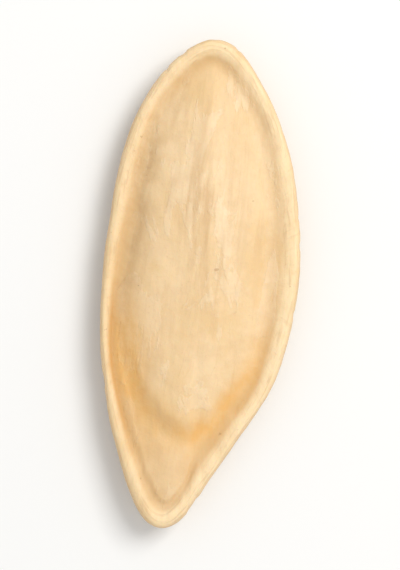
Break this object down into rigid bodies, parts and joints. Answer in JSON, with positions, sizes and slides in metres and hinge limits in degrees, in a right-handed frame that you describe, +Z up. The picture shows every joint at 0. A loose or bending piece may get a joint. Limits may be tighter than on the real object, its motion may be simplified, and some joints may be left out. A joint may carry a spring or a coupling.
{
  "type": "pumpkin seed",
  "caption": "Dry pumpkin seed in its cream shell: long oval with a domed face above and below, a raised rim with a groove inside it, and a blunt pointed end.",
  "frame": {"origin": "middle of the seed's box, at the level of the flat spot that it rests on", "axes": "+Y along the seed from its pointed end to its rounded end, +Z up through the faces, +X to the fuller side of the outline"},
  "size_m": [0.0092, 0.023, 0.0028],
  "materials": {
    "seed_coat": "dry matte shell"
  },
  "bodies": {
    "root": {"pumpkin_seed": "seed_coat"}
  },
  "joints": []
}
